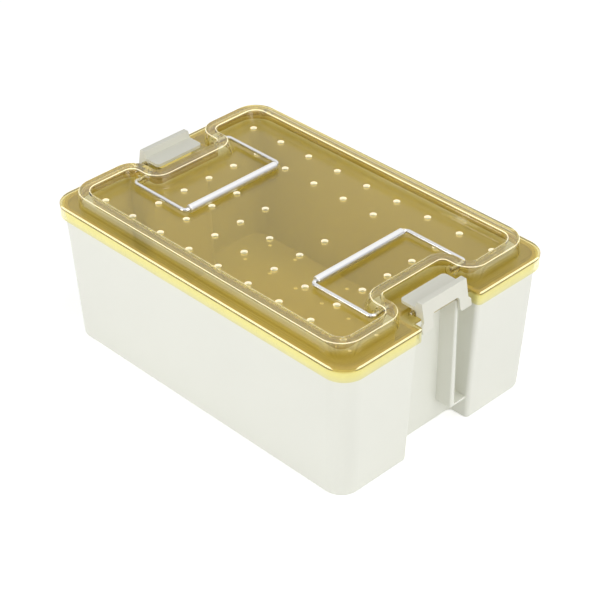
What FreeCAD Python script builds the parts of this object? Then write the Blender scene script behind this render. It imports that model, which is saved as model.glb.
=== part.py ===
import FreeCAD, Part
import math
import os

V = FreeCAD.Vector
UP = V(0, 0, 1)
ORIGIN = V(0, 0, 0)

# Frame: millimetres, origin under the middle of the tub's flat base, +X along the long side, +Z up.
# Both ends are alike, so each end piece is made at +X and turned half round +Z for the other end.

# Tub
tub_height = 104.4
tub_end_draft = 6.2
tub_side_draft = 4.4
tub_base_corner_radius = 14.0
tub_rim_corner_radius = 16.0
tub_wall = 2.6
floor_thickness = 3.0
floor_inner_fillet = 1.4
base_edge_fillet = 0.8
floor_hole_diameter = 3.0
floor_hole_end_margin = 23.7
floor_hole_side_margin = 11.0
floor_hole_columns = 4
floor_hole_rows = 3

# Latch recess in each end of the tub, with an upright fin on a sill across one half of it
recess_base_width = 58.0
recess_base_depth = 15.1
recess_rim_depth = 18.4
recess_mouth_radius = 3.2
recess_inner_radius = 4.0
cavity_mouth_radius = 2.0
fin_base_side = 14.0
fin_rim_side = 12.4
fin_base_thickness = 3.7
fin_rim_thickness = 1.7
fin_base_setback = 2.7
fin_rim_setback = 5.5
fin_edge_radius = 1.2
fin_top_gap = 0.5
sill_height = 16.5
sill_thickness = 1.6

# Lid
lid_length = 280.0
lid_width = 191.0
lid_corner_radius = 16.0
lid_wall = 2.0
seat_gap = 0.2
skirt_thickness = 1.6
skirt_depth = 7.6
skirt_gap = 0.5
flange_edge_bevel = 0.8
seam_width = 0.45
seam_depth = 0.4
seam_below_top = 1.6
notch_depth = 8.3
notch_mouth_radius = 3.5
notch_throat_radius = 1.5

# Raised rim of the lid
rim_end_margin = 10.7
rim_side_margin = 8.2
rim_height = 9.6
rim_band = 8.2
rim_corner_radius = 17.2
rim_outer_draft = 1.3
rim_inner_draft = 3.0
rim_bay_margin = 3.5
rim_bay_mouth_radius = 14.5
rim_bay_throat_radius = 5.0
rim_outer_edge_radius = 1.0
rim_inner_edge_radius = 3.0
panel_cove_radius = 3.0

# Holes in the lid panel, by row from the front, each with its columns counted from the middle
lid_hole_diameter = 4.8
lid_hole_end_margin = 16.42
lid_hole_side_margin = 18.45
lid_hole_outer_column = 4
lid_hole_outer_row = 3
lid_hole_columns = {
    -3: (-4, -3, -2, -1, 0, 1, 2, 3, 4),
    -2: (-3, -2, -1, 0, 1, 2, 3),
    -1: (-3, -2, -1, 0, 1, 2, 3),
    0: (-3, -2, -1, 1, 2, 3),
    1: (-3, 3),
    2: (-3, -2, -1, 0, 1, 2, 3),
    3: (-4, -3, -2, -1, 0, 1, 2, 3, 4),
}

# Latch
latch_width = 41.0
latch_side_room = 5.2
latch_finger_room = 9.1
latch_plate_height = 6.4
latch_plate_thickness = 2.2
latch_plate_reach = 12.4
latch_plate_corner_radius = 3.0
latch_wall = 1.6
latch_ridge_height = 4.8
latch_ridge_foot = 0.7
latch_ridge_inner_top = 2.2
latch_ridge_outer_top = 6.4
latch_ridge_edge_radius = 0.5
latch_toe_reach = 10.0
latch_toe_drop = 6.7
latch_arch_width = 24.8
latch_arch_height = 10.4
latch_arch_radius = 2.2
latch_arch_foot_radius = 2.0
latch_foot_flare = 2.3
latch_foot_height = 4.8
latch_cheek_width = 2.5
latch_lug_radius = 2.0
latch_notch_gap = 0.7

# Latch hinge pin and the lid's ears
pin_diameter = 2.0
pin_setback = 5.2
pin_above_flange = 2.4
pin_proud = 0.5
pin_end_radius = 0.4
pin_press_gap = 0.02
pin_running_gap = 0.08
ear_gap = 0.4
ear_thickness = 2.4
ear_radius = 2.1

# Bail handle
wire_diameter = 3.0
wire_bend_radius = 3.3
bail_rim_room = 6.1
bail_reach = 52.3
bail_pivot_room = 7.5
bail_boss_radius = 3.4
bail_boss_gap = 0.3
bail_boss_proud = 1.0
bail_running_gap = 0.06
bail_end_recess = 2.0
grip_diameter = 6.0
grip_end_gap = 0.4
grip_running_gap = 0.1
grip_edge_radius = 0.5
grip_rest_gap = 0.2

# Worked out from the sizes above
lid_underside = tub_height + seat_gap
flange_top = lid_underside + lid_wall
rim_top = flange_top + rim_height
skirt_bottom = lid_underside - skirt_depth
notch_width = latch_width + 2 * latch_side_room
notch_half = notch_width / 2
notch_edge = lid_length / 2 - notch_depth
skirt_fit = skirt_thickness + skirt_gap
tub_rim_length = lid_length - 2 * skirt_fit
tub_rim_width = lid_width - 2 * skirt_fit
tub_base_length = tub_rim_length - 2 * tub_end_draft
tub_base_width = tub_rim_width - 2 * tub_side_draft
floor_hole_pitch_x = (tub_base_length / 2 - floor_hole_end_margin) / floor_hole_columns
floor_hole_pitch_y = (tub_base_width / 2 - floor_hole_side_margin) / floor_hole_rows
recess_rim_width = notch_width + 2 * skirt_fit
pin_x = notch_edge - pin_setback
pin_z = flange_top + pin_above_flange
pin_half_length = latch_width / 2 + ear_gap + ear_thickness + pin_proud
plate_top = flange_top + latch_plate_height
plate_low = plate_top - latch_plate_thickness
ridge_top = plate_top + latch_ridge_height
ridge_x = pin_x + latch_ridge_outer_top
toe_x = pin_x + latch_toe_reach
toe_z = lid_underside - latch_toe_drop
rim_length = lid_length - 2 * rim_end_margin
rim_width = lid_width - 2 * rim_side_margin
rim_bay_width = notch_width + 2 * rim_bay_margin
rim_bay_x = pin_x - latch_plate_reach - latch_finger_room
rim_bay_depth = rim_length / 2 - rim_bay_x
lid_hole_pitch_x = (rim_length / 2 - lid_hole_end_margin) / lid_hole_outer_column
lid_hole_pitch_y = (rim_width / 2 - lid_hole_side_margin) / lid_hole_outer_row
bail_span = rim_bay_width + 2 * (rim_band + bail_rim_room)
bail_pivot_x = rim_bay_x + bail_pivot_room
bail_z = flange_top + grip_rest_gap + grip_diameter / 2
grip_x = bail_pivot_x - bail_reach
overshoot = 5.0


def rounded_wire(corners, z):
    """Closed wire through corners (x, y, radius) at height z, with tangent arcs at the corners."""
    starts = []
    ends = []
    middles = []
    count = len(corners)
    for i, (x, y, radius) in enumerate(corners):
        here = V(x, y, z)
        before = V(corners[i - 1][0], corners[i - 1][1], z)
        after = V(corners[(i + 1) % count][0], corners[(i + 1) % count][1], z)
        back = (before - here).normalize()
        onward = (after - here).normalize()
        half_angle = back.getAngle(onward) / 2
        reach = radius / math.tan(half_angle)
        inward = (back + onward).normalize()
        starts.append(here + back * reach)
        ends.append(here + onward * reach)
        middles.append(here + inward * (radius / math.sin(half_angle) - radius))
    edges = []
    for i in range(count):
        if corners[i][2] > 0:
            edges.append(Part.Arc(starts[i], middles[i], ends[i]).toShape())
        edges.append(Part.makeLine(ends[i], starts[(i + 1) % count]))
    return Part.Wire(edges)


def notched_wire(length, width, bay_width, bay_depth, corner, mouth, throat, z, inset=0.0):
    """Rounded rectangle with a bay in the middle of both ends, drawn inset from its nominal line."""
    x = length / 2 - inset
    y = width / 2 - inset
    bay_y = bay_width / 2 + inset
    bay_x = length / 2 - bay_depth - inset
    corner_r = corner - inset
    mouth_r = mouth - inset
    throat_r = throat + inset
    right = [(x, -y, corner_r), (x, -bay_y, mouth_r), (bay_x, -bay_y, throat_r),
             (bay_x, bay_y, throat_r), (x, bay_y, mouth_r), (x, y, corner_r)]
    left = [(-px, -py, r) for px, py, r in right]
    return rounded_wire(right + left, z)


def loft(low, high):
    return Part.makeLoft([low, high], True, True)


def prism(wire, height):
    return Part.Face(wire).extrude(V(0, 0, height))


def box(x0, x1, y0, y1, z0, z1):
    return Part.makeBox(x1 - x0, y1 - y0, z1 - z0, V(x0, y0, z0))


def flat_edges(shape, z):
    """Edges of the shape that lie wholly at height z."""
    return [e for e in shape.Edges if abs(e.BoundBox.ZMin - z) < 1e-4 and abs(e.BoundBox.ZMax - z) < 1e-4]


def both_ends(solid):
    return [solid, solid.copy().rotate(ORIGIN, UP, 180)]


def both_sides(solid):
    return [solid, solid.mirror(ORIGIN, V(0, 1, 0))]


def y_cylinder(x, z, radius, y0, y1):
    return Part.makeCylinder(radius, y1 - y0, V(x, y0, z), V(0, 1, 0))


def y_profile(points, y0, y1):
    """Solid whose side view is the closed outline of (x, z) points, from y0 to y1."""
    corners = [V(x, y0, z) for x, z in points]
    return Part.Face(Part.makePolygon(corners + corners[:1])).extrude(V(0, y1 - y0, 0))


def tub_outline(z, inset, mouth_radius):
    """The tub's plan at height z: it narrows towards the base, and so does each end's recess."""
    up = z / tub_height
    length = tub_base_length + (tub_rim_length - tub_base_length) * up
    width = tub_base_width + (tub_rim_width - tub_base_width) * up
    recess_width = recess_base_width + (recess_rim_width - recess_base_width) * up
    recess_depth = recess_base_depth + (recess_rim_depth - recess_base_depth) * up
    corner = tub_base_corner_radius + (tub_rim_corner_radius - tub_base_corner_radius) * up
    return notched_wire(length, width, recess_width, recess_depth, corner,
                        mouth_radius + inset, recess_inner_radius, z, inset)


def tub_end_x(z):
    return (tub_base_length + (tub_rim_length - tub_base_length) * z / tub_height) / 2


def upright_slab(z, inner, outer, setback):
    """Plan of a slab at height z in the recess at +X, +Y, rounded at its inner front corner."""
    back = tub_end_x(0) - recess_base_depth - tub_wall / 2
    front = tub_end_x(z) - setback
    return rounded_wire([(back, inner, 0), (front, inner, fin_edge_radius),
                         (front, outer, 0), (back, outer, 0)], z)


def recess_fin():
    """Upright fin in the recess at +X, +Y, and the sill that runs from its foot to the recess's side."""
    top = tub_height - fin_top_gap
    side = recess_base_width / 2 + tub_wall / 2
    fin = loft(upright_slab(sill_height, fin_base_side, fin_base_side + fin_base_thickness, fin_base_setback),
               upright_slab(top, fin_rim_side, fin_rim_side + fin_rim_thickness, fin_rim_setback))
    sill = prism(upright_slab(sill_height, fin_base_side, side, fin_base_setback), sill_thickness)
    return fin.fuse(sill)


def make_tub():
    outer = loft(tub_outline(0, 0, recess_mouth_radius), tub_outline(tub_height, 0, recess_mouth_radius))
    outer = outer.makeFillet(base_edge_fillet, flat_edges(outer, 0))
    columns = both_ends(recess_fin())
    cavity_top = tub_height + overshoot
    cavity = loft(tub_outline(floor_thickness, tub_wall, cavity_mouth_radius),
                  tub_outline(cavity_top, tub_wall, cavity_mouth_radius))
    cavity = cavity.makeFillet(floor_inner_fillet, flat_edges(cavity, floor_thickness))
    holes = []
    for column in range(-floor_hole_columns, floor_hole_columns + 1):
        for row in range(-floor_hole_rows, floor_hole_rows + 1):
            place = V(column * floor_hole_pitch_x, row * floor_hole_pitch_y, -1)
            holes.append(Part.makeCylinder(floor_hole_diameter / 2, floor_thickness + 2, place))
    return outer.fuse(columns).cut(cavity).cut(Part.Compound(holes)).removeSplitter()


def rim_outline(z, inset):
    return notched_wire(rim_length, rim_width, rim_bay_width, rim_bay_depth, rim_corner_radius,
                        rim_bay_mouth_radius, rim_bay_throat_radius, z, inset)


def rim_outer_inset(z):
    """How far the raised rim's outer wall stands inside its line at the top, negative outside."""
    return -rim_outer_draft * (rim_top - z) / rim_height


def rim_inner_inset(z):
    return rim_band + rim_inner_draft * (rim_top - z) / rim_height


def raised_rim():
    """The rim's solid form, with the panel's pocket let into it and its edges rounded."""
    block = loft(rim_outline(flange_top, rim_outer_inset(flange_top)), rim_outline(rim_top, 0))
    block = block.makeFillet(rim_outer_edge_radius, flat_edges(block, rim_top))
    above = rim_top + overshoot
    pocket = loft(rim_outline(flange_top, rim_inner_inset(flange_top)),
                  rim_outline(above, rim_inner_inset(above)))
    pocket = pocket.makeFillet(panel_cove_radius, flat_edges(pocket, flange_top))
    rim = block.cut(pocket)
    half_way = rim_length / 2 - rim_band / 2
    inner_edges = [e for e in flat_edges(rim, rim_top) if e.BoundBox.XMax < half_way
                   and e.BoundBox.XMin > -half_way and abs(e.CenterOfMass.y) < rim_width / 2 - rim_band / 2]
    return rim, inner_edges


def rim_channel():
    """The hollow under the raised rim, which leaves the lid one wall thick."""
    low = lid_underside - 1
    high = rim_top - lid_wall
    outside = loft(rim_outline(low, rim_outer_inset(low) + lid_wall), rim_outline(high, rim_outer_inset(high) + lid_wall))
    inside = loft(rim_outline(low, rim_inner_inset(low) - lid_wall), rim_outline(high, rim_inner_inset(high) - lid_wall))
    return outside.cut(inside)


def lid_outline(z, inset):
    return notched_wire(lid_length, lid_width, notch_width, notch_depth, lid_corner_radius,
                        notch_mouth_radius, notch_throat_radius, z, inset)


def lid_skirt():
    skirt = prism(lid_outline(skirt_bottom, 0), skirt_depth)
    skirt = skirt.cut(prism(lid_outline(skirt_bottom - 1, skirt_thickness), skirt_depth + 2))
    webs = both_ends(box(notch_edge - overshoot, notch_edge + notch_throat_radius, -notch_half, notch_half,
                         skirt_bottom - 1, lid_underside))
    return skirt.cut(webs)


def lid_ear():
    """Ear at +X, +Y that holds one end of the latch's hinge pin."""
    y0 = latch_width / 2 + ear_gap
    y1 = y0 + ear_thickness
    foot = box(pin_x - ear_radius, pin_x + ear_radius, y0, y1, lid_underside + lid_wall / 2, pin_z)
    return foot.fuse(y_cylinder(pin_x, pin_z, ear_radius, y0, y1))


def boss_span():
    """Where the bail's boss starts, in the latch bay, and where it ends, beside the bail's arm."""
    bay_face = rim_bay_width / 2 + rim_outer_inset(bail_z)
    return bay_face - bail_boss_proud, bail_span / 2 - wire_bend_radius - bail_boss_gap


def make_lid():
    plate = prism(lid_outline(lid_underside, 0), lid_wall)
    plate = plate.makeChamfer(flange_edge_bevel, flat_edges(plate, flange_top))
    rim, inner_edges = raised_rim()
    rim = rim.makeFillet(rim_inner_edge_radius, inner_edges)
    lid = plate.fuse([rim, lid_skirt()]).removeSplitter()
    seam_z = flange_top - seam_below_top - seam_width / 2
    seam = prism(lid_outline(seam_z, -1), seam_width).cut(prism(lid_outline(seam_z - 1, seam_depth), seam_width + 2))
    lid = lid.cut([rim_channel(), seam])
    start, end = boss_span()
    added = both_sides(lid_ear()) + both_sides(y_cylinder(bail_pivot_x, bail_z, bail_boss_radius, start, end))
    extra = []
    for solid in added:
        extra += both_ends(solid)
    lid = lid.fuse(extra)
    pin_bore = y_cylinder(pin_x, pin_z, pin_diameter / 2 + pin_press_gap, -notch_half, notch_half)
    bail_bore = y_cylinder(bail_pivot_x, bail_z, wire_diameter / 2 + bail_running_gap, start - 1, end + 1)
    bores = both_ends(pin_bore)
    for bore in both_sides(bail_bore):
        bores += both_ends(bore)
    for row, columns in lid_hole_columns.items():
        for column in columns:
            place = V(column * lid_hole_pitch_x, row * lid_hole_pitch_y, lid_underside - 1)
            bores.append(Part.makeCylinder(lid_hole_diameter / 2, lid_wall + 2, place))
    return lid.cut(Part.Compound(bores)).removeSplitter()


def latch_wall_x(z):
    """The outer face of the latch's leaning front wall at height z."""
    return toe_x - (toe_x - ridge_x) * (z - toe_z) / (ridge_top - toe_z)


def latch_cheek():
    """Side wall of the latch at +Y: it holds the pin and narrows down the leg to the toe."""
    half = latch_width / 2
    inner = half - latch_cheek_width
    low = pin_z - latch_lug_radius
    leg_x = notch_edge + latch_notch_gap
    leg = y_profile([(pin_x, low), (pin_x, plate_low), (latch_wall_x(plate_low) - latch_wall / 2, plate_low),
                     (toe_x - latch_wall / 2, toe_z), (toe_x - latch_wall, toe_z), (leg_x, low)], inner, half)
    web = box(pin_x - latch_lug_radius, pin_x, inner, half, pin_z, plate_low)
    return leg.fuse([web, y_cylinder(pin_x, pin_z, latch_lug_radius, inner, half)])


def latch_flare():
    """Foot of the leg at +Y, which stands out sideways below the flange."""
    half = latch_width / 2
    side = half + latch_foot_flare
    shoulder_z = toe_z + latch_foot_height
    neck_z = shoulder_z + latch_foot_flare
    points = [V(toe_x, half, toe_z), V(toe_x, side, toe_z), V(latch_wall_x(shoulder_z), side, shoulder_z),
              V(latch_wall_x(neck_z), half, neck_z)]
    return Part.Face(Part.makePolygon(points + points[:1])).extrude(V(-latch_wall, 0, 0))


def latch_arch():
    """The doorway between the two legs."""
    half = latch_arch_width / 2
    outline = rounded_wire([(-half, -overshoot, 0), (half, -overshoot, 0),
                            (half, latch_arch_height, latch_arch_radius),
                            (-half, latch_arch_height, latch_arch_radius)], 0)
    opening = Part.Face(outline).extrude(V(0, 0, 3 * overshoot))
    opening.rotate(ORIGIN, V(1, 0, 0), 90)
    opening.rotate(ORIGIN, UP, 90)
    opening.translate(V(toe_x - 2 * overshoot, 0, toe_z))
    return opening


def make_latch():
    """Rocking latch at +X: plate over the lid, thumb ridge, and two legs over the tub's end."""
    half = latch_width / 2
    plate_end = pin_x - latch_plate_reach
    body = y_profile([(plate_end, plate_low), (plate_end, plate_top), (pin_x + latch_ridge_foot, plate_top),
                      (pin_x + latch_ridge_inner_top, ridge_top), (ridge_x, ridge_top), (toe_x, toe_z),
                      (toe_x - latch_wall, toe_z), (latch_wall_x(plate_low) - latch_wall, plate_low)], -half, half)
    upright = [e for e in body.Edges if e.BoundBox.ZLength > latch_plate_thickness / 2
               and e.BoundBox.XMax < plate_end + 0.01]
    body = body.makeFillet(latch_plate_corner_radius, upright)
    body = body.makeFillet(latch_ridge_edge_radius, flat_edges(body, ridge_top))
    body = body.fuse(both_sides(latch_flare()) + both_sides(latch_cheek())).removeSplitter().cut(latch_arch())
    arch_feet = [e for e in flat_edges(body, toe_z) if abs(abs(e.CenterOfMass.y) - latch_arch_width / 2) < 0.01]
    body = body.makeFillet(latch_arch_foot_radius, arch_feet)
    bore = y_cylinder(pin_x, pin_z, pin_diameter / 2 + pin_running_gap, -half - 1, half + 1)
    return body.cut(bore)


def make_latch_pin():
    pin = y_cylinder(pin_x, pin_z, pin_diameter / 2, -pin_half_length, pin_half_length)
    return pin.makeFillet(pin_end_radius, [e for e in pin.Edges if e.Closed])


def make_bail():
    """Bent wire handle at +X: two arms, the bar under the grip and two inward pivots."""
    start, end = boss_span()
    half = bail_span / 2
    route = [V(bail_pivot_x, -start - bail_end_recess, bail_z), V(bail_pivot_x, -half, bail_z),
             V(grip_x, -half, bail_z), V(grip_x, half, bail_z), V(bail_pivot_x, half, bail_z),
             V(bail_pivot_x, start + bail_end_recess, bail_z)]
    edges = []
    here = route[0]
    for i in range(1, len(route) - 1):
        back = (route[i - 1] - route[i]).normalize()
        onward = (route[i + 1] - route[i]).normalize()
        first = route[i] + back * wire_bend_radius
        last = route[i] + onward * wire_bend_radius
        centre = first + onward * wire_bend_radius
        middle = centre + (route[i] - centre).normalize() * wire_bend_radius
        edges.append(Part.makeLine(here, first))
        edges.append(Part.Arc(first, middle, last).toShape())
        here = last
    edges.append(Part.makeLine(here, route[-1]))
    section = Part.Wire(Part.makeCircle(wire_diameter / 2, route[0], V(0, 1, 0)))
    return Part.Wire(edges).makePipeShell([section], True, False)


def make_grip():
    """Round sleeve over the bar of the bail."""
    half = bail_span / 2 - wire_bend_radius - grip_end_gap
    sleeve = y_cylinder(grip_x, bail_z, grip_diameter / 2, -half, half)
    sleeve = sleeve.makeFillet(grip_edge_radius, [e for e in sleeve.Edges if e.Closed])
    return sleeve.cut(y_cylinder(grip_x, bail_z, wire_diameter / 2 + grip_running_gap, -half - 1, half + 1))


def main():
    nodes = {"tub": make_tub(), "lid": make_lid()}
    for name, solid in (("latch", make_latch()), ("latch_pin", make_latch_pin()),
                        ("bail", make_bail()), ("grip", make_grip())):
        for side, placed in zip(("right", "left"), both_ends(solid)):
            nodes[name + "_" + side] = placed
    os.makedirs("parts", exist_ok=True)
    for name, shape in nodes.items():
        shape.exportStep("parts/" + name + ".step")
        print(name, "solids", len(shape.Solids), "valid", shape.isValid(), "volume", round(shape.Volume, 1))


main()
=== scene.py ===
import bpy
import math
from mathutils import Matrix, Vector

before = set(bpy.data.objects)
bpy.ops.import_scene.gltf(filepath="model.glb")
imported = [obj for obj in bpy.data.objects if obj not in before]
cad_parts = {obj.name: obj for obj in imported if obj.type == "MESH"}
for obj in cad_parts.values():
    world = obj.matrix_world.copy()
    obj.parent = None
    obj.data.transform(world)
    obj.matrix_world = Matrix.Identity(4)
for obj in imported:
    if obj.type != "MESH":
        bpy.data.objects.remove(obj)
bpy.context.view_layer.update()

# Camera, in metres and degrees, found by fitting the box's outline in the photograph
camera_place = Vector((0.7623, -0.7331, 0.7877))
camera_look = Vector((-0.58837, 0.56902, -0.57449))
camera_roll = -0.662
camera_lens = 113.64
camera_sensor = 36.0
camera_near = 0.05

# Strength of the plain light at the horizon and straight above, and of the backdrop where it is seen
sky_low = 0.70
sky_high = 0.42
backdrop_white = 1.0

# Strength of what a gloss shows: low down in front of the box and behind it, and high up
gloss_front = 0.40
gloss_behind = 1.0
gloss_high = 1.0

# Where front turns into behind, as a direction's Y less its X, and low into high, as its Z
gloss_front_end = 0.3
gloss_behind_start = 0.9
gloss_low_end = 0.25
gloss_high_start = 0.75

# Lamps: name, place, power in watts, width
lamps = (
    ("key", Vector((-0.40, -1.35, 0.40)), 6.6, 0.9),
    ("fill", Vector((1.25, 0.02, 0.48)), 5.4, 1.2),
    ("top", Vector((0.35, 0.15, 1.3)), 2.2, 0.5),
)
lamp_aim = Vector((0, 0, 0.06))

# Floor, which glows a little where it is seen
floor_size = 6.0
floor_roughness = 0.9
floor_lift = 0.45

# Colours, linear
tub_white = (0.84, 0.845, 0.765, 1.0)
latch_grey = (0.775, 0.77, 0.675, 1.0)
# The lid is one amber in three tints: the deeper panel tint is partly painted shade of the tub's inside seen
# through it, and the paler rim tint is partly painted light
skirt_tint = (0.915, 0.865, 0.485, 1.0)
panel_tint_and_shade = (0.682, 0.550, 0.168, 1.0)
rim_tint_and_light = (1.000, 0.988, 0.880, 1.0)
amber_shadow = (0.985, 0.970, 0.900, 1.0)
wire_silver = (0.80, 0.80, 0.80, 1.0)
sleeve_silver = (0.95, 0.95, 0.95, 1.0)
pin_silver = (0.72, 0.72, 0.72, 1.0)
floor_white = (0.90, 0.90, 0.90, 1.0)
white = (1.0, 1.0, 1.0, 1.0)
black = (0.0, 0.0, 0.0, 1.0)

# Stretch of a surface's pattern along X, Y and Z, where a small number draws it out that way
even = (1.0, 1.0, 1.0)
flat_drawn = (0.04, 0.04, 1.0)
long_drawn = (1.0, 0.02, 1.0)

# Finishes: the surface group's inputs in this order, then the depth of the grain in metres
surface_inputs = ("Colour", "Mottle", "Smoothest", "Roughest", "Grain Scale", "Stretch")
tub_finish = (tub_white, 0.03, 0.32, 0.42, 900.0, even, 0.00005)
latch_finish = (latch_grey, 0.04, 0.38, 0.50, 1200.0, even, 0.00006)
lid_finish = (panel_tint_and_shade, 0.02, 0.015, 0.045, 45.0, even, 0.00004)
wire_finish = (wire_silver, 0.08, 0.16, 0.30, 2500.0, flat_drawn, 0.00003)
grip_finish = (sleeve_silver, 0.08, 0.22, 0.38, 2500.0, long_drawn, 0.00003)
pin_finish = (pin_silver, 0.08, 0.15, 0.25, 2500.0, long_drawn, 0.00003)

# Patterns of the surface group: mottling, handling marks with the part of them that counts, and grain
cloud_scale = 14.0
cloud_detail = 3.0
wear_scale = 60.0
wear_detail = 4.0
wear_low = 0.3
wear_high = 0.7
grain_detail = 2.0
grain_strength = 0.25

# Clear lid: how it bends light under its gloss coat, and the heights in metres where its tint changes into
# the panel's painted shade and the rim's painted light
amber_bend = 1.06
coat_bend = 1.5
coat_roughness = 0.03
panel_underside = 0.1046
rim_foot = 0.1075
rim_crown = 0.1155
tint_change = 0.0010

# Steam holes of lid and floor in metres: pitches, a little over the radius, the faces, the field's reach
lid_holes = {"Pitch X": 0.02822, "Pitch Y": 0.02295, "Radius": 0.00245,
             "Low": 0.10465, "High": 0.10655, "Reach X": 0.118, "Reach Y": 0.074}
floor_holes = {"Pitch X": 0.0270, "Pitch Y": 0.0260, "Radius": 0.00155,
               "Low": 0.0001, "High": 0.0029, "Reach X": 0.112, "Reach Y": 0.082}
# Painted light on the hole walls: bright dots in the lid's holes, and in the floor's holes in place of the
# light that comes through them from below
lid_hole_painted_light = (0.80, 0.78, 0.70, 1.0)
floor_hole_painted_light = (0.32, 0.29, 0.23, 1.0)

# Share of the lid's painted light that is lost on faces seen from inside the plastic
glow_lost_inside = 0.6

# Painted highlights on the lid's rounded edges, by the upward part of the surface's normal, on its rim and
# outermost faces
edge_level = 0.92
edge_steep = 0.50
edge_painted_highlight = (0.80, 0.76, 0.58, 1.0)
rim_edge_height = 0.1156
outer_x = 0.1390
outer_y = 0.0945

# Painted shadow line in the seam round the lid, between two heights
seam_low = 0.10474
seam_high = 0.10526
seam_painted_shadow = (0.12, 0.11, 0.08, 1.0)

# Flow lines that run round the lid, counted outwards from an oblong inside its outline
flow_core_x = 0.1225
flow_core_y = 0.0780
flow_start = 0.0010

# Pattern of the flow lines, the part of it that darkens, how far, and towards which colour
flow_scale = 1100.0
flow_detail = 2.0
flow_faintest = 0.48
flow_darkest = 0.75
flow_depth = 0.45
flow_tint = (0.25, 0.18, 0.05, 1.0)


def feed(tree, slot, given):
    """Give a node's input a plain value, or a link from another node's output."""
    if isinstance(given, bpy.types.NodeSocket):
        tree.links.new(given, slot)
    else:
        slot.default_value = given


def feed_all(tree, slots, values):
    for name, given in values.items():
        feed(tree, slots[name], given)


def math_node(tree, operation, first, second=0.0):
    node = tree.nodes.new("ShaderNodeMath")
    node.operation = operation
    feed(tree, node.inputs[0], first)
    feed(tree, node.inputs[1], second)
    return node.outputs[0]


def product(tree, factors):
    whole = factors[0]
    for factor in factors[1:]:
        whole = math_node(tree, "MULTIPLY", whole, factor)
    return whole


def length(tree, sides):
    """How long a line is that goes so far along X and so far along Y."""
    squares = [math_node(tree, "MULTIPLY", side, side) for side in sides]
    return math_node(tree, "SQRT", math_node(tree, "ADD", *squares))


def between(tree, given, low, high):
    """1 where a value is between two others."""
    above = math_node(tree, "GREATER_THAN", given, low)
    below = math_node(tree, "LESS_THAN", given, high)
    return math_node(tree, "MULTIPLY", above, below)


def map_range(tree, given, start, end, low=0.0, high=1.0, shape="LINEAR"):
    node = tree.nodes.new("ShaderNodeMapRange")
    node.interpolation_type = shape
    feed_all(tree, node.inputs, {"Value": given, "From Min": start, "From Max": end,
                                 "To Min": low, "To Max": high})
    return node.outputs["Result"]


def mix(tree, kind, share, first, second, blend="MIX"):
    node = tree.nodes.new("ShaderNodeMix")
    node.data_type = kind
    node.blend_type = blend
    feed_all(tree, node.inputs, {"Factor": share, "A": first, "B": second})
    return node.outputs["Result"]


def noise(tree, vector, scale, detail):
    node = tree.nodes.new("ShaderNodeTexNoise")
    feed_all(tree, node.inputs, {"Vector": vector, "Scale": scale, "Detail": detail})
    return node.outputs["Fac"]


def coordinates(tree, kind):
    return tree.nodes.new("ShaderNodeTexCoord").outputs[kind]


def parted(tree, vector):
    """X, Y and Z of a vector, by name."""
    node = tree.nodes.new("ShaderNodeSeparateXYZ")
    tree.links.new(vector, node.inputs[0])
    return node.outputs


def new_material(name):
    """A material, its node tree and its own Principled shader."""
    material = bpy.data.materials.new(name)
    material.use_nodes = True
    return material, material.node_tree, material.node_tree.nodes["Principled BSDF"]


def new_group(name, inputs, outputs):
    """A node group with named sockets, the values it is given and the results it gives."""
    group = bpy.data.node_groups.new(name, "ShaderNodeTree")
    for way, sockets in (("INPUT", inputs), ("OUTPUT", outputs)):
        for socket, kind in sockets.items():
            group.interface.new_socket(socket, in_out=way, socket_type="NodeSocket" + kind)
    given = group.nodes.new("NodeGroupInput").outputs
    results = group.nodes.new("NodeGroupOutput").inputs
    return group, given, results


def place_group(tree, group, values):
    """A group placed in a material with its own values."""
    node = tree.nodes.new("ShaderNodeGroup")
    node.node_tree = group
    feed_all(tree, node.inputs, values)
    return node


def make_camera():
    data = bpy.data.cameras.new("photo_camera")
    data.lens = camera_lens
    data.sensor_width = camera_sensor
    data.clip_start = camera_near
    look = camera_look.normalized()
    right = look.cross(Vector((0, 0, 1))).normalized()
    up = right.cross(look)
    turn = math.radians(camera_roll)
    rolled_right = right * math.cos(turn) + up * math.sin(turn)
    rolled_up = up * math.cos(turn) - right * math.sin(turn)
    camera = bpy.data.objects.new("photo_camera", data)
    axes = Matrix((rolled_right, rolled_up, -look)).transposed().to_4x4()
    camera.matrix_world = Matrix.Translation(camera_place) @ axes
    bpy.context.collection.objects.link(camera)
    bpy.context.scene.camera = camera


def seen_directly(tree):
    """1 for rays that show the backdrop: from the camera, off a gloss or through the clear lid."""
    path = tree.nodes.new("ShaderNodeLightPath").outputs
    either = math_node(tree, "MAXIMUM", path["Is Camera Ray"], path["Is Glossy Ray"])
    return math_node(tree, "MAXIMUM", either, path["Is Transmission Ray"])


def make_world():
    """Plain light for the box, a white backdrop, and a darker room in front for what shines."""
    world = bpy.data.worlds.new("studio")
    bpy.context.scene.world = world
    world.use_nodes = True
    tree = world.node_tree
    direction = parted(tree, coordinates(tree, "Generated"))
    sky = map_range(tree, direction["Z"], 0.0, 1.0, sky_low, sky_high)
    level = map_range(tree, seen_directly(tree), 0.0, 1.0, sky, backdrop_white)
    away = math_node(tree, "SUBTRACT", direction["Y"], direction["X"])
    low = map_range(tree, away, gloss_front_end, gloss_behind_start, gloss_front, gloss_behind)
    gloss = map_range(tree, direction["Z"], gloss_low_end, gloss_high_start, low, gloss_high,
                      "SMOOTHSTEP")
    shines = tree.nodes.new("ShaderNodeLightPath").outputs["Is Glossy Ray"]
    feed_all(tree, tree.nodes["Background"].inputs,
             {"Color": white, "Strength": mix(tree, "FLOAT", shines, level, gloss)})


def make_lamps():
    for name, place, power, width in lamps:
        data = bpy.data.lights.new(name, "AREA")
        data.energy = power
        data.shape = "DISK"
        data.size = width
        lamp = bpy.data.objects.new(name, data)
        turn = (lamp_aim - place).to_track_quat("-Z", "Y").to_matrix().to_4x4()
        lamp.matrix_world = Matrix.Translation(place) @ turn
        bpy.context.collection.objects.link(lamp)


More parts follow.
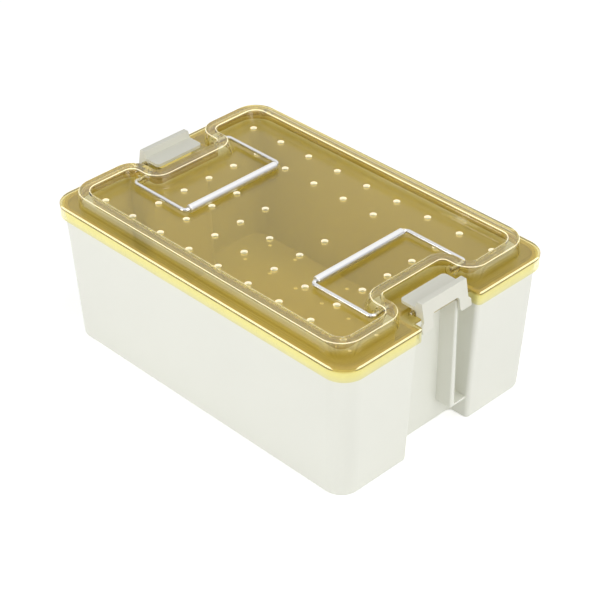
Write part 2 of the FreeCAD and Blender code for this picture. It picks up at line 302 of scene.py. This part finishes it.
def make_floor():
    bpy.ops.mesh.primitive_plane_add(size=floor_size)
    floor = bpy.context.object
    floor.name = "floor"
    material, tree, shader = new_material("pale_floor")
    lift = map_range(tree, seen_directly(tree), 0.0, 1.0, 0.0, floor_lift)
    feed_all(tree, shader.inputs, {"Base Color": floor_white, "Roughness": floor_roughness,
                                   "Specular IOR Level": 0.0, "Emission Color": white,
                                   "Emission Strength": lift})
    floor.data.materials.append(material)


def worked_surface():
    """Mottling, handling marks and grain: a colour, a roughness and a height."""
    group, given, results = new_group(
        "worked_surface",
        {"Colour": "Color", "Mottle": "Float", "Smoothest": "Float", "Roughest": "Float",
         "Grain Scale": "Float", "Stretch": "Vector"},
        {"Colour": "Color", "Roughness": "Float", "Height": "Float"})
    place = coordinates(group, "Object")
    clouds = noise(group, place, cloud_scale, cloud_detail)
    share = math_node(group, "MULTIPLY", clouds, given["Mottle"])
    drawn = group.nodes.new("ShaderNodeVectorMath")
    drawn.operation = "MULTIPLY"
    feed(group, drawn.inputs[0], place)
    feed(group, drawn.inputs[1], given["Stretch"])
    wear = noise(group, drawn.outputs[0], wear_scale, wear_detail)
    feed_all(group, results, {
        "Colour": mix(group, "RGBA", share, given["Colour"], black, "MULTIPLY"),
        "Roughness": map_range(group, wear, wear_low, wear_high, given["Smoothest"], given["Roughest"]),
        "Height": noise(group, drawn.outputs[0], given["Grain Scale"], grain_detail)})
    return group


def add_surface(tree, shader, group, finish):
    """The worked surface placed in a material, with the values of its finish."""
    *values, grain_depth = finish
    surface = place_group(tree, group, dict(zip(surface_inputs, values)))
    bump = tree.nodes.new("ShaderNodeBump")
    feed_all(tree, bump.inputs, {"Strength": grain_strength, "Distance": grain_depth,
                                 "Height": surface.outputs["Height"]})
    feed_all(tree, shader.inputs, {"Base Color": surface.outputs["Colour"],
                                   "Roughness": surface.outputs["Roughness"],
                                   "Normal": bump.outputs["Normal"]})
    return surface


def off_grid(tree, along, pitch):
    """Distance from the nearest line of a grid that has a line at zero."""
    steps = math_node(tree, "DIVIDE", along, pitch)
    away = math_node(tree, "SUBTRACT", steps, math_node(tree, "ROUND", steps))
    return math_node(tree, "MULTIPLY", away, pitch)


def hole_walls():
    """1 on the walls of a field of round holes that stand on a grid."""
    group, given, results = new_group("hole_walls", dict.fromkeys(lid_holes, "Float"), {"Wall": "Float"})
    place = parted(group, coordinates(group, "Object"))
    sides = []
    masks = [between(group, place["Z"], given["Low"], given["High"])]
    for along in ("X", "Y"):
        sides.append(off_grid(group, place[along], given["Pitch " + along]))
        size = math_node(group, "ABSOLUTE", place[along])
        masks.append(math_node(group, "LESS_THAN", size, given["Reach " + along]))
    masks.append(math_node(group, "LESS_THAN", length(group, sides), given["Radius"]))
    feed(group, results["Wall"], product(group, masks))
    return group


def outside(tree, place):
    """1 on the lid's outermost faces."""
    end = math_node(tree, "GREATER_THAN", math_node(tree, "ABSOLUTE", place["X"]), outer_x)
    side = math_node(tree, "GREATER_THAN", math_node(tree, "ABSOLUTE", place["Y"]), outer_y)
    return math_node(tree, "MAXIMUM", end, side)


def flow_lines(tree, place):
    """How dark the fine lines are that follow the lid's outline on flange and rim."""
    sides = []
    for along, core in (("X", flow_core_x), ("Y", flow_core_y)):
        past = math_node(tree, "SUBTRACT", math_node(tree, "ABSOLUTE", place[along]), core)
        sides.append(math_node(tree, "MAXIMUM", past))
    ring = length(tree, sides)
    lines = tree.nodes.new("ShaderNodeTexNoise")
    lines.noise_dimensions = "1D"
    feed_all(tree, lines.inputs, {"W": ring, "Scale": flow_scale, "Detail": flow_detail})
    dark = map_range(tree, lines.outputs["Fac"], flow_faintest, flow_darkest, 0.0, flow_depth)
    there = math_node(tree, "GREATER_THAN", ring, flow_start)
    return product(tree, (dark, there, between(tree, place["Z"], panel_underside, rim_crown)))


def amber_zones():
    """Where the clear lid is pale, deep amber with painted shade or lighter with painted light, and where
    painted light makes its hole walls and edges glow and a painted shadow darkens its seam.
    """
    group, given, results = new_group(
        "amber_zones",
        {"Skirt Colour": "Color", "Panel Colour And Shade": "Color", "Rim Colour And Light": "Color", "Line Colour": "Color",
         "Seam Shadow Colour": "Color", "Hole Wall": "Float", "Hole Painted Light": "Color", "Edge Painted Highlight": "Color"},
        {"Colour": "Color", "Glow": "Color"})
    place = parted(group, coordinates(group, "Object"))
    outer = outside(group, place)

    # Deeper amber over the panel is partly painted shade, and paler amber on the rim is partly painted light
    above = map_range(group, place["Z"], panel_underside - tint_change, panel_underside)
    colour = mix(group, "RGBA", above, given["Skirt Colour"], given["Panel Colour And Shade"])
    higher = map_range(group, place["Z"], rim_foot, rim_crown)
    colour = mix(group, "RGBA", higher, colour, given["Rim Colour And Light"])
    colour = mix(group, "RGBA", flow_lines(group, place), colour, given["Line Colour"])
    # Painted shadow line in the seam on the outermost faces
    seam = product(group, (between(group, place["Z"], seam_low, seam_high), outer))
    colour = mix(group, "RGBA", seam, colour, given["Seam Shadow Colour"])

    # Painted highlights on the rounded edges, over the painted light on the hole walls
    normal = group.nodes.new("ShaderNodeNewGeometry").outputs["Normal"]
    leans = between(group, parted(group, normal)["Z"], edge_steep, edge_level)
    high = math_node(group, "GREATER_THAN", place["Z"], rim_edge_height)
    rounded = product(group, (leans, math_node(group, "MAXIMUM", outer, high)))
    glow = mix(group, "RGBA", given["Hole Wall"], black, given["Hole Painted Light"])
    glow = mix(group, "RGBA", rounded, glow, given["Edge Painted Highlight"])
    feed_all(group, results, {"Colour": colour, "Glow": glow})
    return group


def tub_plastic(group, holes):
    material, tree, shader = new_material("tub_plastic")
    add_surface(tree, shader, group, tub_finish)
    # Painted light on the walls of the floor holes
    wall = place_group(tree, holes, floor_holes).outputs["Wall"]
    feed_all(tree, shader.inputs, {"Emission Color": mix(tree, "RGBA", wall, black, floor_hole_painted_light),
                                   "Emission Strength": 1.0})
    return material


def latch_plastic(group):
    material, tree, shader = new_material("latch_plastic")
    add_surface(tree, shader, group, latch_finish)
    return material


def lid_plastic(group, holes):
    """Clear amber moulding that lets lamp light through to the tub."""
    material, tree, shader = new_material("lid_plastic")
    surface = add_surface(tree, shader, group, lid_finish)
    wall = place_group(tree, holes, lid_holes).outputs["Wall"]
    zones = place_group(tree, amber_zones(), {
        "Skirt Colour": skirt_tint, "Panel Colour And Shade": panel_tint_and_shade, "Rim Colour And Light": rim_tint_and_light,
        "Line Colour": flow_tint, "Seam Shadow Colour": seam_painted_shadow, "Hole Wall": wall,
        "Hole Painted Light": lid_hole_painted_light, "Edge Painted Highlight": edge_painted_highlight}).outputs
    feed(tree, surface.inputs["Colour"], zones["Colour"])
    # The painted light of hole walls and edges, weaker on faces seen from inside
    from_inside = tree.nodes.new("ShaderNodeNewGeometry").outputs["Backfacing"]
    lost = math_node(tree, "MULTIPLY", from_inside, glow_lost_inside)
    feed_all(tree, shader.inputs, {"Emission Color": mix(tree, "RGBA", lost, zones["Glow"], black),
                                   "Emission Strength": 1.0, "IOR": amber_bend,
                                   "Transmission Weight": 1.0, "Coat Weight": 1.0,
                                   "Coat Roughness": coat_roughness, "Coat IOR": coat_bend})
    through = tree.nodes.new("ShaderNodeBsdfTransparent")
    through.inputs["Color"].default_value = amber_shadow
    either = tree.nodes.new("ShaderNodeMixShader")
    feed(tree, either.inputs["Fac"], tree.nodes.new("ShaderNodeLightPath").outputs["Is Shadow Ray"])
    feed(tree, either.inputs[1], shader.outputs["BSDF"])
    feed(tree, either.inputs[2], through.outputs["BSDF"])
    feed(tree, tree.nodes["Material Output"].inputs["Surface"], either.outputs["Shader"])
    return material


def steel(name, group, finish):
    material, tree, shader = new_material(name)
    add_surface(tree, shader, group, finish)
    shader.inputs["Metallic"].default_value = 1.0
    return material


def dress():
    """A material for every piece, by the start of its name."""
    group = worked_surface()
    holes = hole_walls()
    materials = {
        "tub": tub_plastic(group, holes),
        "lid": lid_plastic(group, holes),
        "latch_pin": steel("pin_steel", group, pin_finish),
        "latch": latch_plastic(group),
        "bail": steel("wire_steel", group, wire_finish),
        "grip": steel("grip_sleeve", group, grip_finish),
    }
    for name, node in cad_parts.items():
        start = next(start for start in materials if name.startswith(start))
        node.data.materials.clear()
        node.data.materials.append(materials[start])


make_camera()
make_world()
make_lamps()
make_floor()
dress()

bpy.context.scene.view_settings.view_transform = "Standard"
